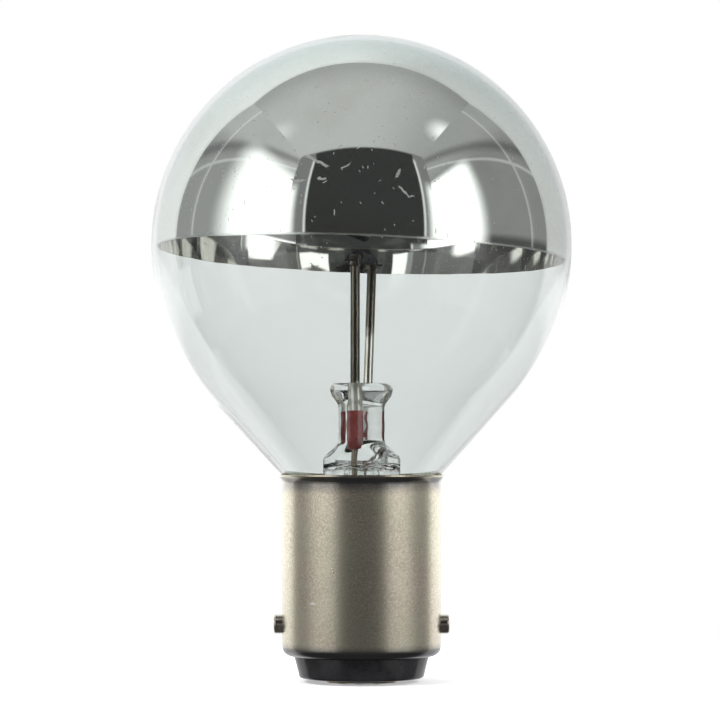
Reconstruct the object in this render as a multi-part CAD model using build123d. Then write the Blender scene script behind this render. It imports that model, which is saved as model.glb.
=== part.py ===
from build123d import *
from math import atan2, cos, degrees, pi, radians, sin, tan
import os

# Crown-silvered lamp bulb on a double-contact bayonet cap, in millimetres.
# +Z runs up the lamp's axis, from the contacts to the silvered crown.
# The bayonet pins lie along X and the two contacts along Y.
# The origin is where the pins' axis crosses the lamp's axis.

# Cap shell: drawn metal sheet, turned in at the bottom and flared at the lip
shell_diameter = 15.2
shell_wall = 0.25
shell_height = 17.3
shell_corner_radius = 0.9
shell_flange = 0.2
lip_bend_radius = 1.0
lip_bend_angle = 45.0

# Bayonet pins: riveted through the shell
pin_diameter = 1.8
pin_length = 0.8
pin_height = 3.0
pin_edge = 0.15
rivet_shank_diameter = 1.1
rivet_head_diameter = 1.4
rivet_head_height = 0.35

# Cap insulator: black glass, moulded into the shell's bottom
insulator_drop = 2.1
insulator_taper = 0.4
insulator_rise = 0.5
insulator_edge = 0.15

# Contacts: an oblong plate on an eyelet, closed with solder
contact_spacing = 6.2
contact_length = 6.6
contact_width = 3.2
contact_thickness = 0.2
eyelet_diameter = 1.8
eyelet_wall = 0.3
eyelet_stand = 0.3
solder_margin = 0.35
solder_end_slope = 1.1
solder_side_slope = 0.6
solder_height = 0.2
solder_plug = 1.4

# Glass globe: round crown, fuller lower half, cone and neck
globe_diameter = 40.4
lower_radius = 21.8
cone_angle = 42.8
glass_wall = 0.45
seat_gap = 0.05
cement_thickness = 0.65
neck_fillet = 1.5
neck_length = 1.4

# Silvering inside the crown, with its edge a little askew
mirror_gap = 0.02
mirror_thickness = 0.12
mirror_edge_drop = 1.0
mirror_tilt_side = 2.07
mirror_tilt_front = 0.8

# Glass stem: flared tube, pinched flat round the wires at the top
stem_diameter = 7.4
stem_wall = 0.7
stem_tube_length = 4.6
shoulder_height = 1.9
waist_height = 3.1
waist_thickness = 4.0
waist_width = 8.0
brim_height = 1.6
brim_thickness = 5.7
brim_width = 9.0
crest_height = 0.6
crest_inset = 0.4
blow_hole_diameter = 1.4
blow_hole_rise = 1.2

# Exhaust tube, with a channel for the wires between it and the stem's bore
wire_channel = 1.3
exhaust_wall = 0.6
exhaust_length = 11.0

# Wires: nickel inner leads, red seal wires and copper outer leads
lead_yaw = 15.3
lead_spacing_top = 6.2
lead_top_shift = 0.21
lead_bend_radius = 3.0
inner_lead_diameter = 0.9
seal_wire_diameter = 0.9
seal_wire_rise = 1.1
seal_wire_length = 3.6
outer_lead_diameter = 0.5
outer_lead_drop = 2.0
outer_lead_rise = 2.5

# Filament: one coil across the lead tops, its tails crimped in the leads and hooked behind them
filament_drop = 1.15
filament_wire = 0.2
coil_diameter = 1.2
coil_turns = 12
coil_end_gap = 0.25
tail_bend = 0.2
tail_stub = 0.85
crimp_length = 0.9
crimp_width = 1.0
crimp_height = 1.2
crimp_edge = 0.15

# Levels and radii of the cap, counted from the pins' axis
shell_radius = shell_diameter / 2
shell_bore = shell_radius - shell_wall
shell_bottom = -pin_height
shell_top = shell_bottom + shell_height
corner_centre = (shell_radius - shell_corner_radius, shell_bottom + shell_corner_radius)
insulator_neck = corner_centre[0] - shell_flange
insulator_face_radius = insulator_neck - insulator_taper
insulator_face = shell_bottom - insulator_drop
insulator_top = corner_centre[1] + insulator_rise
contact_face = insulator_face - contact_thickness
eyelet_bore = eyelet_diameter - 2 * eyelet_wall

# The flared lip bends about a ring outside the shell, and its edge is rounded
lip_angle = radians(lip_bend_angle)
lip_edge_radius = shell_wall / 2
lip_edge_bend = lip_bend_radius + lip_edge_radius
lip_base = shell_top - lip_edge_radius - lip_edge_bend * sin(lip_angle)
lip_centre = (shell_radius + lip_bend_radius, lip_base)
lip_edge_centre = (
    lip_centre[0] - lip_edge_bend * cos(lip_angle),
    lip_centre[1] + lip_edge_bend * sin(lip_angle),
)

# The globe's cone lies seat_gap inside the lip, and the globe's height follows from that
globe_radius = globe_diameter / 2
cone = radians(cone_angle)
lip_distance = lip_centre[0] * cos(cone) - lip_centre[1] * sin(cone)
cone_distance = lip_distance - lip_bend_radius - shell_wall - seat_gap
lower_shift = lower_radius - globe_radius
globe_centre = (lower_radius - lower_shift * cos(cone) - cone_distance) / sin(cone)
neck_radius = shell_bore - cement_thickness
fillet_radius = neck_radius + neck_fillet
fillet_level = (fillet_radius * cos(cone) - cone_distance - neck_fillet) / sin(cone)
neck_end = fillet_level - neck_length

# Levels and radii of the stem and its wires
stem_radius = stem_diameter / 2
stem_bore = stem_radius - stem_wall
flare_radius = neck_radius - glass_wall - stem_radius
exhaust_radius = stem_bore - wire_channel
exhaust_bore = exhaust_radius - exhaust_wall
lead_spacing_low = 2 * stem_bore - wire_channel
pinch_foot = neck_end + stem_tube_length
waist_bottom = pinch_foot + shoulder_height
waist_top = waist_bottom + waist_height
brim_level = waist_top + brim_height
pinch_top = brim_level + crest_height
seal_bottom = pinch_foot + seal_wire_rise
seal_top = seal_bottom + seal_wire_length

# The filament lies across the leads, whose plane is turned by lead_yaw from Y
filament_level = globe_centre - filament_drop
coil_radius = coil_diameter / 2 - filament_wire / 2
coil_length = lead_spacing_top - crimp_length - 2 * coil_end_gap
coil_pitch = coil_length / coil_turns
coil_slope = degrees(atan2(coil_pitch, 2 * pi * coil_radius))
tail_length = crimp_length + 2 * (coil_end_gap - tail_bend)
tail_level = filament_level - coil_radius
lead_direction = Vector(sin(radians(lead_yaw)), cos(radians(lead_yaw)), 0)
lead_turn = Rotation(0, 0, -lead_yaw)
sides = {"front": -1, "rear": 1}


def turned(outline):
    """The solid of a closed half-outline in the XZ plane, turned about the lamp's axis."""
    return revolve(make_face(outline), Axis.Z)


def run(*points):
    """Straight lines through (radius, level) points."""
    return Polyline([(radius, 0, level) for radius, level in points])


def bow(centre, radius, start_angle, end_angle):
    """An arc in the XZ plane, with its angles counted from +X towards +Z."""
    points = []
    for angle in (start_angle, (start_angle + end_angle) / 2, end_angle):
        turn = radians(angle)
        points.append((centre[0] + radius * cos(turn), 0, centre[1] + radius * sin(turn)))
    return ThreePointArc(*points)


def start_of(edge):
    """The (radius, level) where an edge starts."""
    return (edge @ 0).X, (edge @ 0).Z


def end_of(edge):
    """The (radius, level) where an edge ends."""
    return (edge @ 1).X, (edge @ 1).Z


def disc(x, y, level, diameter):
    """A level round face."""
    return Pos(x, y, level) * Circle(diameter / 2)


def lead_place(side, spacing, level, shift=0):
    """The middle of a lead at a level, on the line across both leads."""
    return lead_direction * (sides[side] * spacing / 2) + Vector(shift, 0, level)


def wire(points, diameter):
    """A round wire along straight runs joined by bends."""
    path = FilletPolyline(points, radius=lead_bend_radius)
    return sweep(Plane(path @ 0, z_dir=path % 0) * Circle(diameter / 2), path)


def cap_shell():
    """Turned-in bottom, cylinder and flared lip in one drawn sheet, with the two pin holes."""
    corner = bow(corner_centre, shell_corner_radius, 270, 360)
    flare = bow(lip_centre, lip_bend_radius, 180, 180 - lip_bend_angle)
    edge = bow(lip_edge_centre, lip_edge_radius, -lip_bend_angle, 180 - lip_bend_angle)
    inner_flare = bow(lip_centre, lip_bend_radius + shell_wall, 180 - lip_bend_angle, 180)
    inner_corner = bow(corner_centre, shell_corner_radius - shell_wall, 360, 270)
    flange_edge = (insulator_neck, shell_bottom)
    sheet = turned([
        run(flange_edge, start_of(corner)),
        corner,
        run(end_of(corner), start_of(flare)),
        flare,
        edge,
        inner_flare,
        run(end_of(inner_flare), start_of(inner_corner)),
        inner_corner,
        run(end_of(inner_corner), (insulator_neck, shell_bottom + shell_wall), flange_edge),
    ])
    return sheet - Cylinder(rivet_shank_diameter / 2, 2 * shell_diameter, rotation=(0, 90, 0))


def pin_rod(diameter, start, end):
    """A rod on the pins' axis, between two distances from the lamp's axis."""
    return extrude(Plane((start, 0, 0), z_dir=(1, 0, 0)) * Circle(diameter / 2), end - start)


def bayonet_pin():
    """The right pin: a stub outside the shell, a shank through it and a rivet head inside."""
    inner_end = shell_bore - rivet_head_height
    outer_end = shell_radius + pin_length
    stub = pin_rod(pin_diameter, inner_end, outer_end)
    stub = chamfer(stub.edges().sort_by(Axis.X)[-1], pin_edge)
    stub -= Cylinder(shell_radius, 2 * pin_diameter)
    shank = pin_rod(rivet_shank_diameter, inner_end, shell_radius + pin_length / 2)
    head = pin_rod(rivet_head_diameter, inner_end, shell_radius)
    head &= Cylinder(shell_bore, 2 * pin_diameter)
    return stub + shank + head


def cap_insulator():
    """The glass plug: a cone below the shell, a disc filling its bottom, and two eyelet holes."""
    corner = bow(corner_centre, shell_corner_radius - shell_wall, 270, 360)
    flange_top = (insulator_neck, shell_bottom + shell_wall)
    face_edge = (insulator_face_radius, insulator_face + insulator_edge)
    plug = turned([
        run((0, insulator_face), (insulator_face_radius - insulator_edge, insulator_face), face_edge),
        run(face_edge, (insulator_neck, shell_bottom), flange_top, start_of(corner)),
        corner,
        run(end_of(corner), (shell_bore, insulator_top), (0, insulator_top), (0, insulator_face)),
    ])
    for side in sides.values():
        hole = disc(0, side * contact_spacing / 2, insulator_face, eyelet_diameter)
        plug -= extrude(hole, insulator_top - insulator_face)
    return plug


def contact(side):
    """An oblong contact plate with its eyelet standing through the insulator."""
    middle = sides[side] * contact_spacing / 2
    eyelet_height = insulator_top + eyelet_stand - contact_face
    outline = Pos(0, middle, contact_face) * SlotOverall(contact_length, contact_width)
    plate = extrude(outline, contact_thickness)
    eyelet = extrude(disc(0, middle, contact_face, eyelet_diameter), eyelet_height)
    return plate + eyelet - extrude(disc(0, middle, contact_face, eyelet_bore), eyelet_height)


def solder(side):
    """A mound of solder on the contact plate, with a plug up the eyelet round the lead."""
    middle = sides[side] * contact_spacing / 2
    foot_length = contact_length - 2 * solder_margin
    foot_width = contact_width - 2 * solder_margin
    foot = SlotOverall(foot_length, foot_width)
    crown = SlotOverall(foot_length - 2 * solder_end_slope, foot_width - 2 * solder_side_slope)
    crown_level = contact_face - solder_height
    mound = loft([Pos(0, middle, contact_face) * foot, Pos(0, middle, crown_level) * crown])
    plug = extrude(disc(0, middle, contact_face, eyelet_bore), solder_plug)
    return mound + plug - outer_lead(side)


def globe_line(offset):
    """The globe's half-outline from pole to neck, moved inwards by an offset."""
    crown = bow((0, globe_centre), globe_radius - offset, 90, 0)
    lower = bow((-lower_shift, globe_centre), lower_radius - offset, 0, -cone_angle)
    fillet_bow = bow((fillet_radius, fillet_level), neck_fillet + offset, 180 - cone_angle, 180)
    return [
        crown,
        lower,
        run(end_of(lower), start_of(fillet_bow)),
        fillet_bow,
        run(end_of(fillet_bow), (neck_radius - offset, neck_end)),
    ]


def shell_between(outside, inside):
    """The wall between two half-outlines that start on the axis."""
    foot = run(end_of(outside[-1]), end_of(inside[-1]))
    pole = run(start_of(inside[0]), start_of(outside[0]))
    return turned(outside + inside + [foot, pole])


def glass_globe():
    """The blown envelope: one wall of even thickness from the crown to the neck's open end."""
    return shell_between(globe_line(0), globe_line(glass_wall))


def crown_mirror():
    """The silver layer inside the crown, ending at a slightly tilted plane."""
    outer_offset = glass_wall + mirror_gap
    outside = globe_line(outer_offset)[:2]
    inside = globe_line(outer_offset + mirror_thickness)[:2]
    slope = Vector(tan(radians(mirror_tilt_side)), tan(radians(mirror_tilt_front)), 1)
    edge_plane = Plane((0, 0, globe_centre - mirror_edge_drop), z_dir=slope)
    return split(shell_between(outside, inside), bisect_by=edge_plane, keep=Keep.TOP)


def stem_tube():
    """The stem's tube, flared at its foot to meet the end of the globe's neck."""
    flare_centre = (stem_radius + flare_radius, neck_end + flare_radius)
    flare = bow(flare_centre, flare_radius, 270, 180)
    inner_flare = bow(flare_centre, flare_radius + stem_wall, 180, 270)
    rim = (neck_radius, neck_end)
    return turned([
        run(rim, start_of(flare)),
        flare,
        run(end_of(flare), (stem_radius, pinch_foot), (stem_bore, pinch_foot), start_of(inner_flare)),
        inner_flare,
        run(end_of(inner_flare), (neck_radius, neck_end - stem_wall), rim),
    ])


def stem_pinch():
    """The flattened top of the stem, a narrow waist under a fuller brim, with the blow hole."""
    waist = Ellipse(waist_thickness / 2, waist_width / 2)
    brim = Ellipse(brim_thickness / 2, brim_width / 2)
    crest = Ellipse(brim_thickness / 2 - crest_inset, brim_width / 2 - crest_inset)
    body = loft([
        Pos(0, 0, pinch_foot) * Circle(stem_radius),
        Pos(0, 0, waist_bottom) * waist,
        Pos(0, 0, waist_top) * waist,
        Pos(0, 0, brim_level) * brim,
        Pos(0, 0, pinch_top) * crest,
    ])
    hole_middle = (0, 0, pinch_foot + blow_hole_rise)
    side_hole = Plane(hole_middle, z_dir=(1, 0, 0)) * Circle(blow_hole_diameter / 2)
    body -= extrude(disc(0, 0, pinch_foot, 2 * exhaust_bore), blow_hole_rise)
    return body - extrude(side_hole, stem_diameter)


def stem_glass():
    """Tube and pinch melted into one piece round the wires."""
    stem = lead_turn * (stem_tube() + stem_pinch())
    for side in sides:
        stem = stem - inner_lead(side) - seal_wire(side) - outer_lead(side)
    return stem


def exhaust_tube():
    """The thin pumping tube under the pinch, melted shut at its lower end."""
    tip = (0, pinch_foot - exhaust_length + exhaust_radius)
    outside = bow(tip, exhaust_radius, 0, -90)
    inside = bow(tip, exhaust_bore, -90, 0)
    mouth = (exhaust_bore, pinch_foot)
    return turned([
        run(mouth, (exhaust_radius, pinch_foot), start_of(outside)),
        outside,
        run(end_of(outside), start_of(inside)),
        inside,
        run(end_of(inside), mouth),
    ])


def basing_cement():
    """The ring of cement that holds the neck in the shell."""
    foot = neck_end - stem_wall
    inner_corner = (neck_radius, foot)
    outer_side = [(shell_bore, foot), (shell_bore, fillet_level)]
    return turned([run(inner_corner, *outer_side, (neck_radius, fillet_level), inner_corner)])


def inner_lead(side):
    """A stout wire from the seal up to the filament, with its tip crimped on the filament's tail."""
    foot = lead_place(side, lead_spacing_low, seal_top)
    knee = lead_place(side, lead_spacing_low, pinch_top)
    top_level = tail_level + crimp_height / 2 - crimp_edge
    top = lead_place(side, lead_spacing_top, top_level, lead_top_shift)
    crimp = fillet(Box(crimp_width, crimp_length, crimp_height).edges(), crimp_edge)
    crimp_place = Pos(*lead_place(side, lead_spacing_top, tail_level, lead_top_shift))
    return wire([foot, knee, top], inner_lead_diameter) + crimp_place * lead_turn * crimp - filament()


def seal_wire(side):
    """The red wire that the pinched glass grips."""
    foot = lead_place(side, lead_spacing_low, seal_bottom)
    return extrude(disc(*foot, seal_wire_diameter), seal_wire_length)


def outer_lead(side):
    """A copper wire from the seal, down past the exhaust tube and through the eyelet into the solder."""
    middle = sides[side] * contact_spacing / 2
    route = [
        lead_place(side, lead_spacing_low, seal_bottom),
        lead_place(side, lead_spacing_low, neck_end - outer_lead_drop),
        Vector(0, middle, insulator_top + outer_lead_rise),
        Vector(0, middle, contact_face - solder_height / 2),
    ]
    return wire(route, outer_lead_diameter)


def filament_bend(start, direction, turn):
    """A bend of the filament's wire that leaves a point in a direction."""
    return Plane(start, x_dir=direction, z_dir=(1, 0, 0)) * JernArc((0, 0), (1, 0), tail_bend, turn)


def onward(bend, length):
    """The straight run that carries on from the end of a bend."""
    return Line(bend @ 1, bend @ 1 + (bend % 1) * length)


def coil_end(spiral, end):
    """The wire's line beyond one end of the coil: a bend, the tail, a hook and its stub."""
    way_out = (spiral % end) * (2 * end - 1)
    bend = filament_bend(spiral @ end, way_out, 90 - coil_slope)
    tail = onward(bend, tail_length)
    hook = filament_bend(tail @ 1, tail % 1, 90)
    return [bend, tail, hook, onward(hook, tail_stub)]


def filament():
    """The tungsten wire: the coil, and at each end a tail that runs through the crimp."""
    spiral = Helix(coil_pitch, coil_length, coil_radius)
    line = Wire(coil_end(spiral, 0) + [spiral] + coil_end(spiral, 1))
    section = Plane(line @ 0, z_dir=line % 0) * Circle(filament_wire / 2)
    coil_start = lead_place("front", coil_length, filament_level, lead_top_shift)
    coil_plane = Plane(coil_start, x_dir=(0, 0, -1), z_dir=lead_direction)
    return coil_plane.location * sweep(section, line)


def main():
    right_pin = bayonet_pin()
    pieces = {
        "glass_globe": glass_globe(),
        "crown_mirror": crown_mirror(),
        "stem_glass": stem_glass(),
        "exhaust_tube": exhaust_tube(),
        "filament": filament(),
        "cap_shell": cap_shell(),
        "bayonet_pin_left": mirror(right_pin, Plane.YZ),
        "bayonet_pin_right": right_pin,
        "cap_insulator": cap_insulator(),
        "basing_cement": basing_cement(),
    }
    for side in sides:
        pieces[f"inner_lead_{side}"] = inner_lead(side)
        pieces[f"seal_wire_{side}"] = seal_wire(side)
        pieces[f"outer_lead_{side}"] = outer_lead(side)
        pieces[f"contact_{side}"] = contact(side)
        pieces[f"solder_{side}"] = solder(side)
    os.makedirs("parts", exist_ok=True)
    for name, solid in pieces.items():
        export_step(solid, f"parts/{name}.step")


main()
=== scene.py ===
from math import cos, pi, radians, sin, sqrt, tan

import bmesh
import bpy
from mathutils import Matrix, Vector


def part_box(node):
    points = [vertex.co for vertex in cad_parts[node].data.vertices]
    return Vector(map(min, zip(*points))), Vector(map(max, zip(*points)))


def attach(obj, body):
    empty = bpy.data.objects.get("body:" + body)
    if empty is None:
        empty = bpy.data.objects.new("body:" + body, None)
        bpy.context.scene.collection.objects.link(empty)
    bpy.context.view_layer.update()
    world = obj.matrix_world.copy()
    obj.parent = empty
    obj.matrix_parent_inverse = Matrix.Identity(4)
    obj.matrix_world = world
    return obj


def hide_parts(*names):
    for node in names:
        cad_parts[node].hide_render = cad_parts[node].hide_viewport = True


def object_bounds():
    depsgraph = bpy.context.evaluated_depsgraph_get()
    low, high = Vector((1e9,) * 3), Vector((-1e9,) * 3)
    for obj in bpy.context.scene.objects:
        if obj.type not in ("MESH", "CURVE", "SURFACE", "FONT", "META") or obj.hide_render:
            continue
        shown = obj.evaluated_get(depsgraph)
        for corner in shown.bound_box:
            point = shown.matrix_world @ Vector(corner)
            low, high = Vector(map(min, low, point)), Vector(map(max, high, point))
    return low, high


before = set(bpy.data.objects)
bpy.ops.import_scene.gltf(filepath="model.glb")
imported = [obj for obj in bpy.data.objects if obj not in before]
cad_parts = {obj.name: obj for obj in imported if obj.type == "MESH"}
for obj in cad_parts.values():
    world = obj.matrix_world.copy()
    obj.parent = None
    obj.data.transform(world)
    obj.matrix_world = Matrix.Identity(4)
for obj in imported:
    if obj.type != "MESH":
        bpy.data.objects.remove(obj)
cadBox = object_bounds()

# Lamp bulb with a silvered crown, dressed around its solids. Sizes below are in millimetres.
mm = 0.001
scene = bpy.context.scene
print("frame loaded:", len(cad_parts), "solids")


def nodeBox(name):
    low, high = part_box(name)
    return low / mm, high / mm


# mesh tools

def arcPoints(centre, radius, startAngle, endAngle, steps):
    points = []
    for step in range(steps + 1):
        angle = radians(startAngle + (endAngle - startAngle) * step / steps)
        points.append((centre[0] + radius * cos(angle), centre[1] + radius * sin(angle)))
    return points


def fullTurn(steps):
    return [2 * pi * step / steps for step in range(steps)]


def meshFromRows(name, rows, closed=False):
    # rows of points in mm, each a ring of equal length or a single pole
    points = []
    numbered = []
    for row in rows:
        numbered.append(range(len(points), len(points) + len(row)))
        points.extend(Vector(point) * mm for point in row)
    faces = []
    count = len(numbered) if closed else len(numbered) - 1
    for i in range(count):
        here = numbered[i]
        after = numbered[(i + 1) % len(numbered)]
        size = max(len(here), len(after))
        for k in range(size):
            n = (k + 1) % size
            corners = [here[k % len(here)], here[n % len(here)]]
            corners += [after[n % len(after)], after[k % len(after)]]
            faces.append(list(dict.fromkeys(corners)))
    mesh = bpy.data.meshes.new(name)
    mesh.from_pydata(points, [], [face for face in faces if len(face) > 2])
    return tidyMesh(mesh)


def tidyMesh(mesh, sharpAngle=40):
    work = bmesh.new()
    work.from_mesh(mesh)
    bmesh.ops.remove_doubles(work, verts=work.verts, dist=mm * 1e-4)
    bmesh.ops.recalc_face_normals(work, faces=work.faces)
    for face in work.faces:
        face.smooth = True
    for edge in work.edges:
        edge.smooth = len(edge.link_faces) == 2 and edge.calc_face_angle(0) < radians(sharpAngle)
    work.to_mesh(mesh)
    work.free()
    return mesh


def turnedMesh(name, outline, around, closed=False):
    # turns (radius, level) points about the lamp's axis
    rows = []
    for radius, level in outline:
        if radius < 1e-6:
            rows.append([(0, 0, level)])
        else:
            rows.append([(radius * cos(turn), radius * sin(turn), level) for turn in fullTurn(around)])
    return meshFromRows(name, rows, closed)


def wireMesh(name, points, radius, ring, smooth=True):
    # a round wire along points in mm, made with a bevelled curve
    curve = bpy.data.curves.new(name, "CURVE")
    curve.dimensions = "3D"
    curve.bevel_depth = radius * mm
    curve.bevel_resolution = ring
    curve.use_fill_caps = True
    spline = curve.splines.new("NURBS" if smooth else "POLY")
    spline.points.add(len(points) - 1)
    for spot, point in zip(spline.points, points):
        spot.co = (*(Vector(point) * mm), 1)
    if smooth:
        spline.order_u = 3
        spline.use_endpoint_u = True
        curve.resolution_u = 8
    carrier = bpy.data.objects.new(name, curve)
    scene.collection.objects.link(carrier)
    bpy.context.view_layer.update()
    shaped = carrier.evaluated_get(bpy.context.evaluated_depsgraph_get())
    mesh = bpy.data.meshes.new_from_object(shaped)
    bpy.data.objects.remove(carrier)
    bpy.data.curves.remove(curve)
    mesh.name = name
    return tidyMesh(mesh)


def joinMeshes(name, meshes):
    work = bmesh.new()
    for mesh in meshes:
        work.from_mesh(mesh)
    joined = bpy.data.meshes.new(name)
    work.to_mesh(joined)
    work.free()
    return joined


def addPiece(name, mesh, finish, slotName, *nodes):
    piece = bpy.data.objects.new(name, mesh)
    scene.collection.objects.link(piece)
    mesh.materials.clear()
    mesh.materials.append(finish)
    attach(piece, "root")
    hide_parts(*nodes)


# node tools

def addNode(tree, kind, sockets=None, **settings):
    made = tree.nodes.new("ShaderNode" + kind)
    for name, value in settings.items():
        setattr(made, name, value)
    for name, value in (sockets or {}).items():
        if isinstance(value, bpy.types.NodeSocket):
            tree.links.new(value, made.inputs[name])
        else:
            made.inputs[name].default_value = value
    return made


def mathOf(tree, operation, first, second=0.0):
    return addNode(tree, "Math", {0: first, 1: second}, operation=operation).outputs[0]


def times(tree, first, second):
    return mathOf(tree, "MULTIPLY", first, second)


def larger(tree, first, second):
    return mathOf(tree, "MAXIMUM", first, second)


def awayFrom(tree, value, middle):
    return mathOf(tree, "ABSOLUTE", mathOf(tree, "SUBTRACT", value, middle))


def vectorOf(tree, operation, sockets):
    return addNode(tree, "VectorMath", sockets, operation=operation).outputs


def axesOf(tree, place):
    return addNode(tree, "SeparateXYZ", {0: place}).outputs


def mmPlace(tree, cell=(1, 1, 1), lean=0):
    # the surface point, counted in cells of a size in mm, with the cells leaning sideways by an angle
    place = addNode(tree, "TexCoord").outputs["Object"]
    sockets = {"Vector": place, "Scale": tuple(side * mm for side in cell), "Rotation": (0, radians(lean), 0)}
    return addNode(tree, "Mapping", sockets, vector_type="TEXTURE").outputs[0]


def noiseAt(tree, place, scale, detail=3.0, rough=0.55):
    sockets = {"Vector": place, "Scale": scale, "Detail": detail, "Roughness": rough}
    return addNode(tree, "TexNoise", sockets).outputs["Fac"]


def spread(tree, value, low, high, toLow=0.0, toHigh=1.0, curve="SMOOTHSTEP"):
    sockets = {"Value": value, "From Min": low, "From Max": high, "To Min": toLow, "To Max": toHigh}
    return addNode(tree, "MapRange", sockets, interpolation_type=curve).outputs[0]


def cloudAt(tree, place, scale):
    # broad patches, as a 0 to 1 mask
    return spread(tree, noiseAt(tree, place, scale, 4.0), 0.35, 0.7)


def grainTo(tree, grain, reach):
    # the middle of a noise's reach, stretched over a reach of its own
    return spread(tree, grain, 0.3, 0.7, *reach)


def mixed(tree, share, first, second):
    return addNode(tree, "Mix", {0: share, 2: first, 3: second}).outputs[0]


def shadeMix(tree, share, first, second):
    made = addNode(tree, "Mix", {"Factor": share}, data_type="RGBA")
    for socket, value in ((made.inputs[6], first), (made.inputs[7], second)):
        if isinstance(value, bpy.types.NodeSocket):
            tree.links.new(value, socket)
        else:
            socket.default_value = (*value, 1)
    return made.outputs[2]


def flecks(tree, place, scale, share, size):
    # sparse dots: one in every few cells, as a 0 to 1 mask
    cell = addNode(tree, "TexVoronoi", {"Vector": place, "Scale": scale})
    chosen = addNode(tree, "SeparateColor", {"Color": cell.outputs["Color"]}).outputs[0]
    near = spread(tree, cell.outputs["Distance"], size, size * 0.5)
    return times(tree, near, mathOf(tree, "LESS_THAN", chosen, share))


def bumpOf(tree, height, strength, distance):
    sockets = {"Height": height, "Strength": strength, "Distance": distance * mm}
    return addNode(tree, "Bump", sockets).outputs[0]


def newFinish(name, **sockets):
    material = bpy.data.materials.new(name)
    material.use_nodes = True
    shader = material.node_tree.nodes["Principled BSDF"]
    for socket, value in sockets.items():
        shader.inputs[socket.replace("_", " ")].default_value = value
    return material, material.node_tree, shader


def feed(tree, shader, **sockets):
    for socket, value in sockets.items():
        tree.links.new(value, shader.inputs[socket.replace("_", " ")])


# finishes

# tint, refraction, roughness of smears and dust, and the size and strength of the waves in the glass
glassLooks = {
    "globe_glass": {
        "tint": (0.877, 0.908, 0.90), "ior": 1.5, "smear": 0.03, "dust": 0.25, "wave": (6.0, 0.012),
        "rim": (0.66, 0.81, 0.80), "rimFacing": (0.45, 0.8), "rimLevel": (34, 58),
    },
    "stem_glass": {
        "tint": (0.965, 0.975, 0.965), "ior": 1.5, "smear": 0.02, "dust": 0.2, "wave": (1.6, 0.07),
    },
}
glassMarks = {
    "smearScale": 0.22, "smearFrom": (0.52, 0.75), "dust": {"scale": 0.9, "share": 0.06, "size": 0.1},
}


def clearGlass(name):
    look = glassLooks[name]
    tint = look["tint"]
    material, tree, shader = newFinish(name, Base_Color=(*tint, 1), IOR=look["ior"], Transmission_Weight=1.0)
    place = mmPlace(tree)
    if "rim" in look:
        # the crown's rim, seen edge-on, is deeper in tint
        facing = addNode(tree, "LayerWeight", {"Blend": 0.5}).outputs["Facing"]
        edgeOn = spread(tree, facing, *look["rimFacing"])
        high = spread(tree, axesOf(tree, place)["Z"], *look["rimLevel"])
        feed(tree, shader, Base_Color=shadeMix(tree, times(tree, edgeOn, high), tint, look["rim"]))
    smear = noiseAt(tree, place, glassMarks["smearScale"], 5.0)
    smear = spread(tree, smear, *glassMarks["smearFrom"], 0.0, look["smear"])
    dust = times(tree, flecks(tree, place, **glassMarks["dust"]), look["dust"])
    feed(tree, shader, Roughness=larger(tree, smear, dust))
    waveSize, wave = look["wave"]
    feed(tree, shader, Normal=bumpOf(tree, noiseAt(tree, place, 1 / waveSize, 1.0), wave, 1.0))
    return material


# colours and roughness, how far painted shade and rubbing reach from the lip or the bottom, and the marks
shellLook = {
    "olive": (0.70, 0.67, 0.53), "warm": (0.74, 0.67, 0.55), "dull": (0.52, 0.475, 0.37),
    "shadeColour": (0.18, 0.18, 0.19), "bare": (0.92, 0.9, 0.84), "rough": (0.26, 0.34), "rubbed": 0.18,
    "grainScale": 5.0, "patchScale": 0.16, "cloudScale": 0.3, "bump": (0.2, 0.03),
    "shadeNeck": (2.0, 0.8), "shadeLip": (0.15, 0.35), "shadeFoot": (1.5, 0.4),
    "rubbedLip": (1.6, 0.5), "rubbedFoot": (1.4, 0.4),
    "specks": {"scale": 0.7, "share": 0.12, "size": 0.08}, "wornGloss": 0.15, "wornHeight": 3.0,
    "scuffs": {"scale": 1.0, "share": 0.03, "size": 0.16}, "scuffCell": (2.2, 2.2, 0.5), "scuffLean": 20,
    "nick": (-4.6, 2.25), "nickHalf": (0.4, 0.14), "nickSoft": (1.2, 0.7),
}


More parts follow.
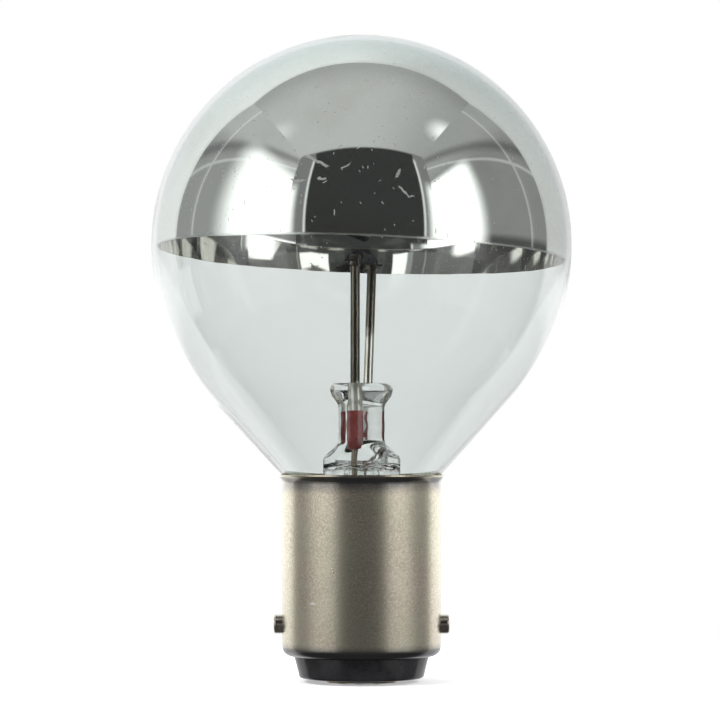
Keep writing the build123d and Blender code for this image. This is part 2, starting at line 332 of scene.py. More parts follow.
def nickelShell():
    look = shellLook
    material, tree, shader = newFinish("nickel_shell", Metallic=1.0)
    low, high = nodeBox("cap_shell")
    place = mmPlace(tree)
    parts = axesOf(tree, place)

    def belowTop(reach):
        return spread(tree, parts["Z"], high.z - reach[0], high.z - reach[1])

    def aboveFoot(reach):
        return spread(tree, parts["Z"], low.z + reach[0], low.z + reach[1])

    # olive and warm patches under a dull grain
    grain = noiseAt(tree, place, look["grainScale"], rough=0.7)
    patch = spread(tree, noiseAt(tree, place, look["patchScale"], 2.0), 0.4, 0.6)
    cloud = grainTo(tree, noiseAt(tree, place, look["cloudScale"], 4.0), (0.5, 1.0))
    patina = times(tree, spread(tree, grain, 0.35, 0.65), cloud)
    colour = shadeMix(tree, patina, shadeMix(tree, patch, look["olive"], look["warm"]), look["dull"])
    # painted shade: darker under the lip and round the bottom corner, where those curves mirror the dark
    # below
    neck = times(tree, belowTop(look["shadeNeck"]), belowTop(look["shadeLip"]))
    shadeMask = larger(tree, times(tree, neck, cloud), aboveFoot(look["shadeFoot"]))
    colour = shadeMix(tree, shadeMask, colour, look["shadeColour"])
    # one bright nick on the front
    reaches = []
    for axis, spot, half in zip("XZ", look["nick"], look["nickHalf"]):
        reaches.append(mathOf(tree, "DIVIDE", awayFrom(tree, parts[axis], spot), half))
    ahead = mathOf(tree, "LESS_THAN", parts["Y"], 0.0)
    nick = times(tree, spread(tree, mathOf(tree, "ADD", *reaches), *look["nickSoft"]), ahead)
    feed(tree, shader, Base_Color=shadeMix(tree, nick, colour, look["bare"]))
    # smoother where it is rubbed, and on its worn specks and scuffs
    scuffs = flecks(tree, mmPlace(tree, look["scuffCell"], look["scuffLean"]), **look["scuffs"])
    worn = larger(tree, flecks(tree, place, **look["specks"]), scuffs)
    rubbed = larger(tree, belowTop(look["rubbedLip"]), aboveFoot(look["rubbedFoot"]))
    rough = mixed(tree, rubbed, grainTo(tree, grain, look["rough"]), look["rubbed"])
    feed(tree, shader, Roughness=mathOf(tree, "SUBTRACT", rough, times(tree, worn, look["wornGloss"])))
    height = mathOf(tree, "ADD", grain, times(tree, worn, look["wornHeight"]))
    feed(tree, shader, Normal=bumpOf(tree, height, *look["bump"]))
    return material


# bright and dull colour, roughness range and size of the grain in mm; the leads carry painted shade from a
# level up, for the dark that their upper parts mirror
metalLooks = {
    "pin_metal": {
        "bright": (0.66, 0.62, 0.54), "dull": (0.46, 0.42, 0.36),
        "rough": (0.16, 0.3), "grain": (0.3, 0.3, 0.3),
    },
    # the contact's colours are darkened well below brass: tarnish and painted shade for the contacts on the
    # plug's underside
    "contact_brass": {
        "bright": (0.34, 0.28, 0.18), "dull": (0.19, 0.15, 0.10),
        "rough": (0.3, 0.5), "grain": (0.4, 0.4, 0.4),
    },
    # the solder's colours are darkened too: painted shade on the plug's underside
    "solder": {
        "bright": (0.44, 0.44, 0.45), "dull": (0.26, 0.26, 0.27),
        "rough": (0.3, 0.55), "grain": (0.6, 0.6, 0.6),
    },
    "lead_nickel": {
        "bright": (0.86, 0.83, 0.77), "dull": (0.72, 0.66, 0.56),
        "rough": (0.26, 0.36), "grain": (0.2, 0.2, 4.0),
        "darkTop": (0.20, 0.18, 0.145), "darkTopFrom": (25.8, 27.2),
        "darkTopSlope": 1.1, "darkTopWaver": (0.8, 1.6),
    },
    "lead_copper": {
        "bright": (0.40, 0.33, 0.26), "dull": (0.23, 0.19, 0.15),
        "rough": (0.25, 0.4), "grain": (0.2, 0.2, 3.0),
    },
    "tungsten": {
        "bright": (0.17, 0.17, 0.185), "dull": (0.09, 0.09, 0.10),
        "rough": (0.3, 0.5), "grain": (0.12, 0.12, 0.12),
    },
}
metalMarks = {"cloudScale": 0.25, "bump": (0.1, 0.02)}


def wornShadedMetal(name):
    look = metalLooks[name]
    material, tree, shader = newFinish(name, Metallic=1.0)
    place = mmPlace(tree, look["grain"])
    grain = noiseAt(tree, place, 1.0)
    colour = shadeMix(tree, cloudAt(tree, place, metalMarks["cloudScale"]), look["bright"], look["dull"])
    if "darkTop" in look:
        # painted shade: darker from a level up, lower on the front wire, for the dark interior that the wires
        # mirror
        spot = mmPlace(tree)
        parts = axesOf(tree, spot)
        darkLevel = mathOf(tree, "SUBTRACT", parts["Z"], times(tree, parts["Y"], look["darkTopSlope"]))
        waverScale, waver = look["darkTopWaver"]
        darkLevel = mathOf(tree, "ADD", darkLevel, times(tree, noiseAt(tree, spot, waverScale), waver))
        colour = shadeMix(tree, spread(tree, darkLevel, *look["darkTopFrom"]), colour, look["darkTop"])
    feed(tree, shader, Base_Color=colour)
    feed(tree, shader, Roughness=grainTo(tree, grain, look["rough"]))
    feed(tree, shader, Normal=bumpOf(tree, grain, *metalMarks["bump"]))
    return material


# light and dark colour, roughness range, grain per mm and how strongly it shows
dullLooks = {
    "black_glass": {
        "light": (0.017, 0.017, 0.019), "dark": (0.010, 0.010, 0.011),
        "rough": (0.06, 0.2), "grain": 2.0, "bump": 0.05,
    },
    "seal_red": {
        "light": (0.74, 0.12, 0.11), "dark": (0.48, 0.06, 0.055),
        "rough": (0.25, 0.45), "grain": 3.0, "bump": 0.2,
    },
    "basing_cement": {
        "light": (0.64, 0.58, 0.46), "dark": (0.45, 0.40, 0.30),
        "rough": (0.6, 0.9), "grain": 4.0, "bump": 0.5,
    },
}
dullMarks = {"cloudShare": 0.3, "bumpHeight": 0.05}


def dullSurface(name):
    look = dullLooks[name]
    material, tree, shader = newFinish(name)
    place = mmPlace(tree)
    cloud = cloudAt(tree, place, look["grain"] * dullMarks["cloudShare"])
    grain = noiseAt(tree, place, look["grain"])
    feed(tree, shader, Base_Color=shadeMix(tree, cloud, look["light"], look["dark"]))
    feed(tree, shader, Roughness=grainTo(tree, grain, look["rough"]))
    feed(tree, shader, Normal=bumpOf(tree, grain, look["bump"], dullMarks["bumpHeight"]))
    return material


finishes = {"nickel_shell": nickelShell()}
finishes.update((name, clearGlass(name)) for name in glassLooks)
finishes.update((name, wornShadedMetal(name)) for name in metalLooks)
finishes.update((name, dullSurface(name)) for name in dullLooks)
print("finishes made:", len(finishes))

# glass globe: round crown, fuller lower half, cone and neck

globe = {
    "lowerRadius": 21.8, "coneAngle": 42.8, "wall": 0.45, "neckFillet": 1.5, "neckRadius": 6.7, "around": 224,
}
globeLow, globeHigh = nodeBox("glass_globe")
globeRadius = (globeHigh.x - globeLow.x) / 2
globeCentre = globeHigh.z - globeRadius
neckEnd = globeLow.z
lowerShift = globe["lowerRadius"] - globeRadius


def neckBend():
    # the fillet between the cone and the neck lies on both, so its height follows from the cone
    cone = radians(globe["coneAngle"])
    lower = globe["lowerRadius"]
    bendRadius = globe["neckRadius"] + globe["neckFillet"]
    coneEnd = (lower * cos(cone) - lowerShift, globeCentre - lower * sin(cone))
    distance = coneEnd[0] * cos(cone) - coneEnd[1] * sin(cone)
    return bendRadius, (bendRadius * cos(cone) - distance - globe["neckFillet"]) / sin(cone)


def globeLine(offset, steps=56):
    angle = globe["coneAngle"]
    line = arcPoints((0, globeCentre), globeRadius - offset, 90, 0, steps)
    line += arcPoints((-lowerShift, globeCentre), globe["lowerRadius"] - offset, 0, -angle, steps // 2)[1:]
    line += arcPoints(neckBend(), globe["neckFillet"] + offset, 180 - angle, 180, steps // 4)
    line.append((globe["neckRadius"] - offset, neckEnd))
    line[0] = (0, line[0][1])
    return line


globeMesh = turnedMesh("globe_envelope", globeLine(0) + globeLine(globe["wall"])[::-1], globe["around"])
addPiece("globe_envelope", globeMesh, finishes["globe_glass"], "clear_glass", "glass_globe")
print("globe blown")

# silvering inside the crown, its edge a little askew and not quite even

mirror = {
    "gap": 0.02, "thickness": 0.12, "edgeDrop": 1.0, "tiltSide": 2.07, "tiltFront": 0.8, "around": 240,
    "fray": 0.05, "frayWaves": ((0.5, 7, 0.6), (0.3, 19, 2.0), (0.2, 43, 1.1)),
}
slopeSide = tan(radians(mirror["tiltSide"]))
slopeFront = tan(radians(mirror["tiltFront"]))


def mirrorEdge(turn, radius):
    level = globeCentre - mirror["edgeDrop"]
    level -= radius * cos(turn) * slopeSide
    level -= radius * sin(turn) * slopeFront
    fray = sum(share * sin(waves * turn + start) for share, waves, start in mirror["frayWaves"])
    return level + mirror["fray"] * fray


def mirrorRows(offset, crownSteps=64, edgeSteps=6):
    radius = globeRadius - offset
    lower = globe["lowerRadius"] - offset
    turns = fullTurn(mirror["around"])
    rows = [[(0, 0, globeCentre + radius)]]
    for step in range(1, crownSteps + 1):
        angle = pi / 2 * (1 - step / crownSteps)
        ring = radius * cos(angle)
        level = globeCentre + radius * sin(angle)
        rows.append([(ring * cos(turn), ring * sin(turn), level) for turn in turns])
    for step in range(1, edgeSteps + 1):
        row = []
        for turn in turns:
            drop = (globeCentre - mirrorEdge(turn, radius)) * step / edgeSteps
            ring = sqrt(lower * lower - drop * drop) - lowerShift
            row.append((ring * cos(turn), ring * sin(turn), globeCentre - drop))
        rows.append(row)
    return rows


silverLook = {
    "bright": (0.93, 0.925, 0.90), "tarnish": (0.84, 0.81, 0.74),
    "rough": 0.03, "markRough": 0.7, "markMetal": 0.35,
    "cloudScale": 0.12, "cloudFrom": (0.45, 0.8), "rippleScale": 0.14, "ripple": 0.02,
    "specks": {"scale": 1.1, "share": 0.5, "size": 0.1},
    "streaks": {"scale": 1.0, "share": 0.2, "size": 0.14},
    "waves": {"Scale": 1.3, "Detail": 3.0}, "waver": 0.9,
    "edge": (0.3, 0.1), "edgeMark": 0.4, "edgeAhead": (0, -8), "scratchSoft": (1.0, 0.5), "scratchMark": 0.9,
}
# size of the cells that the streaks fill, and how far they lean
streakCells = {
    "upright": ((0.5, 0.5, 3.0), 0), "flat": ((0.45, 0.45, 2.4), 62), "slant": ((0.4, 0.4, 1.6), -35),
}
# the worst scratches, all on the crown's front: middle, half sizes and lean to the right
scratches = {
    "long": {"spot": (-4.0, -17.9, 42.4), "size": (1.5, 4, 0.24), "lean": 27},
    "middle": {"spot": (-1.4, -18.0, 41.9), "size": (0.7, 4, 0.16), "lean": -25},
    "short": {"spot": (-3.6, -18.0, 40.8), "size": (0.55, 4, 0.2), "lean": 8},
    "outer": {"spot": (-5.7, -17.8, 40.7), "size": (0.9, 4, 0.13), "lean": 2},
    "upright": {"spot": (3.3, -18.0, 41.3), "size": (0.5, 4, 0.15), "lean": -70},
    "slant": {"spot": (3.9, -18.0, 39.6), "size": (1.1, 4, 0.14), "lean": 36},
}


def scratchMask(tree, place, look):
    sockets = {"Vector": place, "Location": look["spot"], "Scale": look["size"]}
    sockets["Rotation"] = (0, radians(look["lean"]), 0)
    local = addNode(tree, "Mapping", sockets, vector_type="TEXTURE").outputs[0]
    away = vectorOf(tree, "LENGTH", {0: local})["Value"]
    return spread(tree, away, *silverLook["scratchSoft"], 0, silverLook["scratchMark"])


def silverMarks(tree, place):
    # specks and short streaks that lean three ways
    marks = flecks(tree, place, **silverLook["specks"])
    for cell, lean in streakCells.values():
        marks = larger(tree, marks, flecks(tree, mmPlace(tree, cell, lean), **silverLook["streaks"]))
    # wavy scratches
    waves = addNode(tree, "TexNoise", {"Vector": place, **silverLook["waves"]}).outputs["Color"]
    waves = vectorOf(tree, "SUBTRACT", {0: waves, 1: (0.5, 0.5, 0.5)})[0]
    wavy = vectorOf(tree, "MULTIPLY_ADD", {0: waves, 1: (silverLook["waver"],) * 3, 2: place})[0]
    for look in scratches.values():
        marks = larger(tree, marks, scratchMask(tree, wavy, look))
    # a rough line along the front edge
    rise = vectorOf(tree, "DOT_PRODUCT", {0: place, 1: (slopeSide, slopeFront, 1)})["Value"]
    edge = globeCentre - mirror["edgeDrop"]
    ahead = spread(tree, axesOf(tree, place)["Y"], *silverLook["edgeAhead"])
    start, end = silverLook["edge"]
    line = spread(tree, rise, edge + start, edge + end, 0, silverLook["edgeMark"])
    return larger(tree, marks, times(tree, line, ahead))


def silvering():
    material, tree, shader = newFinish("silvering")
    place = mmPlace(tree)
    cloud = spread(tree, noiseAt(tree, place, silverLook["cloudScale"]), *silverLook["cloudFrom"])
    feed(tree, shader, Base_Color=shadeMix(tree, cloud, silverLook["bright"], silverLook["tarnish"]))
    marks = silverMarks(tree, place)
    feed(tree, shader, Roughness=spread(tree, marks, 0, 1, silverLook["rough"], silverLook["markRough"]))
    feed(tree, shader, Metallic=spread(tree, marks, 0, 1, 1.0, silverLook["markMetal"]))
    ripple = noiseAt(tree, place, silverLook["rippleScale"], 1.0)
    feed(tree, shader, Normal=bumpOf(tree, ripple, silverLook["ripple"], 1.0))
    return material


mirrorOffset = globe["wall"] + mirror["gap"]
mirrorOut = mirrorRows(mirrorOffset)
mirrorIn = mirrorRows(mirrorOffset + mirror["thickness"])
mirrorMesh = meshFromRows("crown_silver", mirrorOut + mirrorIn[::-1])
addPiece("crown_silver", mirrorMesh, silvering(), "silvering", "crown_mirror")
print("crown silvered")

# glass stem: flared tube, pinched flat round the wires

stem = {
    "radius": 3.7, "wall": 0.7, "tubeLength": 4.6, "shoulder": 1.9, "waist": 3.1, "brim": 1.6, "crest": 0.6,
    "waistSize": (2.0, 4.0), "brimSize": (2.85, 4.5), "crestInset": 0.4, "yaw": 15.3, "seatGap": 0.02,
    "domeDrop": 0.4, "domeFlat": 0.4, "domeStart": 82,
}
stemSteps = {"around": 96, "flare": 16, "shoulder": 20, "waist": 10, "brim": 18, "crest": 8, "dome": 12}
pinchFoot = neckEnd + stem["tubeLength"]
pinchTop = pinchFoot + stem["shoulder"] + stem["waist"] + stem["brim"] + stem["crest"]
leadDirection = Vector((sin(radians(stem["yaw"])), cos(radians(stem["yaw"])), 0))
leadAcross = Vector((cos(radians(stem["yaw"])), -sin(radians(stem["yaw"])), 0))


def stemRing(thick, wide, level):
    upright = Vector((0, 0, level))
    row = []
    for turn in fullTurn(stemSteps["around"]):
        row.append(leadAcross * (thick * cos(turn)) + leadDirection * (wide * sin(turn)) + upright)
    return row


def easeRings(start, end, steps):
    # rings from one (thick, wide, level) to the next, leaving and arriving upright
    rings = []
    for step in range(1, steps + 1):
        share = step / steps
        ease = share * share * (3 - 2 * share)
        sizes = [a + (b - a) * ease for a, b in zip(start[:2], end[:2])]
        rings.append(sizes + [start[2] + (end[2] - start[2]) * share])
    return rings


def crestRings(brim):
    # the rounded top edge, then the flat top closing in
    rings = []
    steps = stemSteps["crest"]
    for step in range(1, steps + 1):
        turn = pi / 2 * step / steps
        inset = stem["crestInset"] * (1 - cos(turn))
        rings.append((brim[0] - inset, brim[1] - inset, brim[2] + stem["crest"] * sin(turn)))
    thick, wide = rings[-1][:2]
    return rings + [(thick * share, wide * share, pinchTop) for share in (0.6, 0.2)]


def stemMesh():
    radius = stem["radius"]
    bore = radius - stem["wall"]
    flare = globe["neckRadius"] - globe["wall"] - radius
    flareFoot = neckEnd - stem["seatGap"]
    flareCentre = (radius + flare, flareFoot + flare)
    outside = [(globe["neckRadius"], flareFoot)]
    outside += arcPoints(flareCentre, flare, 270, 180, stemSteps["flare"])
    rings = [(r, r, level) for r, level in outside]
    waistFoot = pinchFoot + stem["shoulder"]
    waistTop = waistFoot + stem["waist"]
    foot = (radius, radius, pinchFoot)
    waistLow = (*stem["waistSize"], waistFoot)
    waistHigh = (*stem["waistSize"], waistTop)
    brim = (*stem["brimSize"], waistTop + stem["brim"])
    rings += [foot] + easeRings(foot, waistLow, stemSteps["shoulder"])
    rings += easeRings(waistLow, waistHigh, stemSteps["waist"])
    rings += easeRings(waistHigh, brim, stemSteps["brim"]) + crestRings(brim)
    # the bore ends in a low dome under the pinch
    domeFoot = pinchFoot - bore * stem["domeDrop"]
    inside = arcPoints((0, domeFoot), bore, stem["domeStart"], 0, stemSteps["dome"])
    inside = [(r, domeFoot + (level - domeFoot) * stem["domeFlat"]) for r, level in inside]
    inside += arcPoints(flareCentre, flare + stem["wall"], 180, 270, stemSteps["flare"])
    inside.append((globe["neckRadius"], flareFoot - stem["wall"]))
    rows = [[(0, 0, pinchTop)]]
    rows += [stemRing(*ring) for ring in rings[::-1]]
    rows += [stemRing(r, r, level) for r, level in inside[::-1]]
    rows.append([(0, 0, pinchFoot)])
    return meshFromRows("stem_mount", rows)


addPiece("stem_mount", stemMesh(), finishes["stem_glass"], "clear_glass", "stem_glass")
print("stem pinched")

# inner leads: stout nickel wires, bent as they leave the stem, with flattened tips

leads = {
    "lowSpacing": 4.7, "topSpacing": 6.2, "topShift": 0.21, "radius": 0.45, "sealTop": 4.7, "tipRise": 0.3,
    "bendBelow": 0.4, "bendAbove": 0.12, "crimp": (1.0, 0.9, 1.2), "crimpEdge": 0.22, "ring": 8,
}
filament = {  # its tails set how high the leads reach
    "drop": 1.15, "wire": 0.2, "diameter": 1.2, "turns": 12, "perTurn": 28, "ring": 3,
    "endGap": 0.25, "bend": 0.2, "stub": 0.85,
}
filamentLevel = globeCentre - filament["drop"]
coilRadius = filament["diameter"] / 2 - filament["wire"] / 2
tailLevel = filamentLevel - coilRadius


def leadPlace(side, spacing, level, shift=0.0):
    return leadDirection * (side * spacing / 2) + Vector((shift, 0, level))


def crimpMesh(side):
    # the flattened tip of a lead, folded over the filament's tail
    work = bmesh.new()
    bmesh.ops.create_cube(work, size=1.0)
    across, along, tall = leads["crimp"]
    middle = leadPlace(side, leads["topSpacing"], tailLevel, leads["topShift"])
    for corner in work.verts:
        spot = leadAcross * corner.co.x * across + leadDirection * corner.co.y * along
        corner.co = (middle + spot + Vector((0, 0, corner.co.z * tall))) * mm
    rounding = {"offset": leads["crimpEdge"] * mm, "segments": 4, "affect": "EDGES", "profile": 0.5}
    bmesh.ops.bevel(work, geom=work.edges[:], **rounding)
    mesh = bpy.data.meshes.new("crimp")
    work.to_mesh(mesh)
    work.free()
    return tidyMesh(mesh)


def innerLead(name, side):
    foot = leadPlace(side, leads["lowSpacing"], pinchFoot + leads["sealTop"])
    knee = leadPlace(side, leads["lowSpacing"], pinchTop)
    top = leadPlace(side, leads["topSpacing"], tailLevel + leads["tipRise"], leads["topShift"])
    bendStart = knee + (foot - knee) * leads["bendBelow"]
    bendEnd = knee + (top - knee) * leads["bendAbove"]
    route = [foot, bendStart, knee, bendEnd, bendEnd.lerp(top, 0.5), top]
    rod = wireMesh(name, route, leads["radius"], leads["ring"])
    return joinMeshes(name, [rod, crimpMesh(side)])


for sideName, side in (("front", -1), ("rear", 1)):
    name = f"lead_{sideName}"
    addPiece(name, innerLead(name, side), finishes["lead_nickel"], "lead_nickel", f"inner_lead_{sideName}")


# filament: a coil across the leads, with a tail through each crimp

def filamentLine():
    # the wire's centre line, from one stub over the coil to the other
    length = leads["topSpacing"] - leads["crimp"][1] - 2 * filament["endGap"]
    start = leadPlace(-1, length, filamentLevel, leads["topShift"])
    line = []
    steps = filament["turns"] * filament["perTurn"]
    for step in range(steps + 1):
        turn = 2 * pi * step / filament["perTurn"]
        radial = Vector((0, 0, -cos(turn))) - leadAcross * sin(turn)
        line.append(start + leadDirection * (length * step / steps) + radial * coilRadius)
    bend = filament["bend"]
    bendTurns = (pi / 6, pi / 3, pi / 2)
    tailLength = leads["crimp"][1] + 2 * (filament["endGap"] - bend)
    for way in (-1, 1):
        line = line[::-1] if way < 0 else line
        end = line[-1]
        outward = leadDirection * way
        across = leadAcross * -way
        corner = [end + across * bend * sin(a) + outward * bend * (1 - cos(a)) for a in bendTurns]
        tailEnd = corner[-1] + outward * tailLength
        hook = [tailEnd + outward * bend * sin(a) - across * bend * (1 - cos(a)) for a in bendTurns]
        line += corner + [tailEnd] + hook + [hook[-1] - across * filament["stub"]]
        line = line[::-1] if way < 0 else line
    return line


coilMesh = wireMesh("coil", filamentLine(), filament["wire"] / 2, filament["ring"], smooth=False)
addPiece("coil", coilMesh, finishes["tungsten"], "tungsten", "filament")
print("filament wound:", filament["turns"], "turns")

# cap: drawn shell with a flared lip and a rounded bottom corner

cap = {
    "radius": 7.6, "wall": 0.25, "corner": 0.9, "flange": 0.2, "lipBend": 1.0, "lipAngle": 45.0,
    "around": 200, "cornerSteps": 14, "lipSteps": 10,
}
capLow, capHigh = nodeBox("cap_shell")
capEdge = cap["wall"] / 2
lipTurn = radians(cap["lipAngle"])
lipBase = capHigh.z - capEdge - (cap["lipBend"] + capEdge) * sin(lipTurn)
lipCentre = (cap["radius"] + cap["lipBend"], lipBase)
lipEdge = (lipCentre[0] - (cap["lipBend"] + capEdge) * cos(lipTurn), capHigh.z - capEdge)
cornerCentre = (cap["radius"] - cap["corner"], capLow.z + cap["corner"])


def capLine():
    lip = cap["lipAngle"]
    line = [(cornerCentre[0] - cap["flange"], capLow.z)]
    line += arcPoints(cornerCentre, cap["corner"], 270, 360, cap["cornerSteps"])
    line += arcPoints(lipCentre, cap["lipBend"], 180, 180 - lip, cap["lipSteps"])
    line += arcPoints(lipEdge, capEdge, -lip, 180 - lip, cap["lipSteps"])
    line += arcPoints(lipCentre, cap["lipBend"] + cap["wall"], 180 - lip, 180, cap["lipSteps"])
    line += arcPoints(cornerCentre, cap["corner"] - cap["wall"], 360, 270, cap["cornerSteps"])
    line.append((cornerCentre[0] - cap["flange"], capLow.z + cap["wall"]))
    return line


capMesh = turnedMesh("cap_sleeve", capLine(), cap["around"], closed=True)
addPiece("cap_sleeve", capMesh, finishes["nickel_shell"], "nickel_shell", "cap_shell")

# bayonet pins, riveted through the shell

pin = {"radius": 0.9, "edge": 0.2, "sink": 0.12, "around": 48}


def pinMesh(name, way):
    tip = nodeBox("bayonet_pin_right")[1].x
    start = cap["radius"] - pin["sink"]
    outline = [(0, start), (pin["radius"], start)]
    outline += arcPoints((pin["radius"] - pin["edge"], tip - pin["edge"]), pin["edge"], 0, 90, 8)
    outline.append((0, tip))
    mesh = turnedMesh(name, outline, pin["around"])
    for corner in mesh.vertices:
        x, y, z = corner.co
        corner.co = (z * way, x, y * way)
    return tidyMesh(mesh)


for sideName, way in (("left", -1), ("right", 1)):
    name = f"pin_{sideName}"
    addPiece(name, pinMesh(name, way), finishes["pin_metal"], "pin_metal", f"bayonet_pin_{sideName}")

# black glass plug in the cap's bottom

plug = {"face": 6.0, "edge": 0.3, "gap": 0.02, "around": 160}
plugLow, plugHigh = nodeBox("cap_insulator")


def plugLine():
    neck = cornerCentre[0] - cap["flange"] - plug["gap"]
    line = [(0, plugLow.z)]
    line += arcPoints((plug["face"] - plug["edge"], plugLow.z + plug["edge"]), plug["edge"], 270, 360, 8)
    line += [(neck, capLow.z + plug["gap"]), (neck, plugHigh.z), (0, plugHigh.z)]
    return line


plugMesh = turnedMesh("cap_plug", plugLine(), plug["around"])
addPiece("cap_plug", plugMesh, finishes["black_glass"], "black_glass", "cap_insulator")

# solids that keep their own form

keptNodes = {
    "exhaust_tube": "stem_glass", "basing_cement": "basing_cement",
    "seal_wire_front": "seal_red", "seal_wire_rear": "seal_red",
    "outer_lead_front": "lead_copper", "outer_lead_rear": "lead_copper",
    "contact_front": "contact_brass", "contact_rear": "contact_brass",
    "solder_front": "solder", "solder_rear": "solder",
}
for node, finish in keptNodes.items():
    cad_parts[node].data.materials.clear()
    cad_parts[node].data.materials.append(finishes[finish])
print("cap and wires dressed")


# studio: pale floor, an open white backdrop and a light tent that shows only in reflections

def stageSurface(name, mesh, shaderOf):
    # a stage object with its own surface, which shaderOf builds from the light path
    thing = bpy.data.objects.new(name, mesh)
    scene.collection.objects.link(thing)
    material = bpy.data.materials.new(name)
    material.use_nodes = True
    tree = material.node_tree
    tree.nodes.remove(tree.nodes["Principled BSDF"])
    surface = shaderOf(tree, addNode(tree, "LightPath").outputs)
    tree.links.new(surface, tree.nodes["Material Output"].inputs["Surface"])
    mesh.materials.append(material)
    return thing


def mixShaders(tree, share, first, second):
    return addNode(tree, "MixShader", {0: share, 1: first, 2: second}).outputs[0]


# how often a ray has been mirrored, or has passed a face of glass, before a surface of the stage changes
rayCounts = {"mirrored": 0.5, "thirdTime": 2.5, "inGlass": 0.5, "atSilver": 3, "inStem": 4.5}
floor = {
    "radius": 75, "gap": 0.02, "around": 96, "fade": (34, 70), "colour": (0.82, 0.82, 0.82, 1), "lift": 0.42,
}


def floorShader(tree, path):
    # pale and matt, whiter to the camera, fading out into the backdrop and left out of reflections
    matte = addNode(tree, "BsdfDiffuse", {"Color": floor["colour"]}).outputs[0]
    lift = addNode(tree, "Emission", {"Strength": times(tree, path["Is Camera Ray"], floor["lift"])})
    shown = addNode(tree, "AddShader", {0: matte, 1: lift.outputs[0]}).outputs[0]
    away = vectorOf(tree, "LENGTH", {0: addNode(tree, "TexCoord").outputs["Object"]})["Value"]
    fade = spread(tree, away, *(edge * mm for edge in floor["fade"]))
    mirrored = mathOf(tree, "GREATER_THAN", path["Glossy Depth"], rayCounts["mirrored"])
    gone = larger(tree, fade, mirrored)
    return mixShaders(tree, gone, shown, addNode(tree, "BsdfTransparent").outputs[0])


floorLevel = cadBox[0].z / mm - floor["gap"]
floorMesh = turnedMesh("floor", [(0, floorLevel), (floor["radius"], floorLevel)], floor["around"])
stageSurface("floor", floorMesh, floorShader)

# the tent's walls and the glow of its top and its foot, in mm from the lamp's axis
tent = {
    "half": 306, "front": -360, "back": 170, "top": 455, "foot": -150, "stemShare": 0.35, "thirdTime": 0.5,
    "topLight": 0.58, "topFade": (1.06, 0.8), "topFadeFrom": -20,
    "spot": -130, "spotReach": 95, "spotLights": (0.25, 0.9), "spotSplit": 20,
    "footLights": (0.08, 0.7), "footFrom": (90, 150),
}


def planeParts(tree):
    place = addNode(tree, "TexCoord").outputs["Object"]
    return axesOf(tree, vectorOf(tree, "SCALE", {0: place, 3: 1 / mm})[0])


def topGlow(tree):
    # paler over the windows, most at the right, and duller to the right and to the back
    parts = planeParts(tree)
    across = spread(tree, parts["X"], 0, tent["half"], tent["topLight"], windows["right"]["upper"])
    dulled = spread(tree, parts["Y"], tent["topFadeFrom"], tent["back"], *tent["topFade"])
    side = mathOf(tree, "SUBTRACT", tent["half"], mathOf(tree, "ABSOLUTE", parts["X"]))
    away = awayFrom(tree, parts["Y"], tent["spot"])
    squares = mathOf(tree, "ADD", mathOf(tree, "POWER", side, 2), mathOf(tree, "POWER", away, 2))
    near = spread(tree, mathOf(tree, "SQRT", squares), tent["spotReach"], 0)
    light = spread(tree, parts["X"], -tent["spotSplit"], tent["spotSplit"], *tent["spotLights"])
    return mathOf(tree, "ADD", times(tree, across, dulled), times(tree, near, light))


def footGlow(tree):
    # dark under the lamp and before it, white behind it
    return spread(tree, planeParts(tree)["Y"], *tent["footFrom"], *tent["footLights"])


opening = {
    "left": -214, "right": 243, "top": 446, "sill": 8, "soft": 4, "glow": 0.04, "frameGlow": 0.24,
    "trim": 10, "trimGlow": 0.95, "trimTop": (-20, -60),
    "spill": 1.5, "spillReach": (55, 10), "spillTop": (300, 220),
}


def frontGlow(tree):
    # the dark opening, edged with pale trims at its sides, in a frame that brightens towards the windows
    parts = planeParts(tree)
    middle = (opening["left"] + opening["right"]) / 2
    half = (opening["right"] - opening["left"]) / 2
    past = mathOf(tree, "SUBTRACT", awayFrom(tree, parts["X"], middle), half)
    above = mathOf(tree, "SUBTRACT", parts["Z"], opening["top"])
    inFrame = spread(tree, larger(tree, past, above), -opening["soft"], opening["soft"])
    ground = mixed(tree, inFrame, opening["glow"], opening["frameGlow"])
    start, end = (tent["half"] - reach for reach in opening["spillReach"])
    side = spread(tree, mathOf(tree, "ABSOLUTE", parts["X"]), start, end)
    spill = times(tree, side, spread(tree, parts["Z"], *opening["spillTop"]))
    edge = spread(tree, mathOf(tree, "ABSOLUTE", past), opening["trim"], 0)
    edge = times(tree, edge, spread(tree, above, *opening["trimTop"]))
    pale = mixed(tree, edge, mixed(tree, spill, ground, opening["spill"]), opening["trimGlow"])
    return mixed(tree, spread(tree, parts["Z"], -opening["sill"], opening["sill"]), opening["glow"], pale)


windows = {
    "left": {
        "glow": 1.9, "wall": 0.37, "low": 0.18, "upper": 0.58, "fade": (5, -130),
        "foot": -10, "top": 265, "soft": 95, "rod": 72, "patch": 95,
    },
    "right": {
        "glow": 2.4, "wall": 0.30, "low": 0.18, "upper": 0.42, "fade": (-88, -175),
        "foot": 0, "top": 250, "soft": 50, "rod": 76, "patch": 200,
    },
}
# levels and softness of what both walls share
wall = {
    "riseFrom": -110, "rise": 0.8, "footSoft": 15, "patchSoft": 10, "patchLevel": (-85, -62),
    "lowTop": (6, 18), "edgeTop": (44, 62), "edgeGlow": 0.08, "upperFrom": (250, 340),
}
seam = {
    "slope": 0.36, "rod": 237, "rodWidth": (8, 2), "rodLight": 0.25,
    "fold": 290, "foldHalf": 36, "foldShade": 0.55,
}


